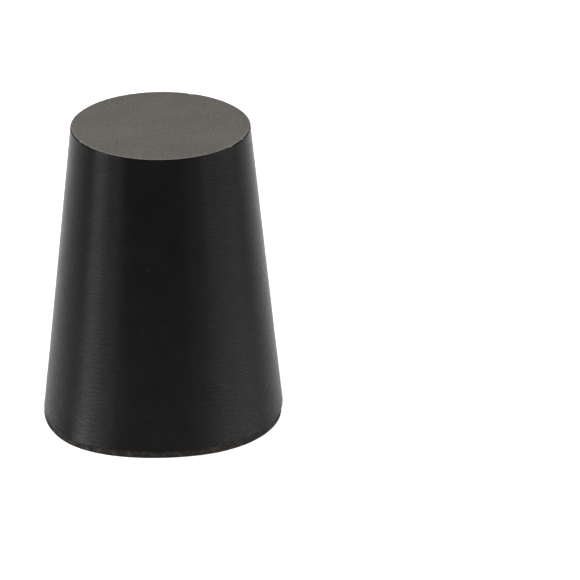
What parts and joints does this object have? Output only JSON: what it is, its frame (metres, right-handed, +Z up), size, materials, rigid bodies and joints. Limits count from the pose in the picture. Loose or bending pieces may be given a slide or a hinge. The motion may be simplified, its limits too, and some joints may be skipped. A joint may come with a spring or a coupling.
{
  "type": "rubber stopper",
  "caption": "Solid tapered rubber stopper that closes the neck of a flask, bottle or test tube, standing on its large end.",
  "frame": {"origin": "centre of the flat large end, which the stopper stands on", "axes": "+Z up the axis from the large end to the small end; +X from the axis through the short stroke moulded in the large face"},
  "size_m": [0.0194, 0.0194, 0.025],
  "materials": {
    "black_rubber": "satin"
  },
  "bodies": {
    "root": {"stopper": "black_rubber"}
  },
  "joints": []
}
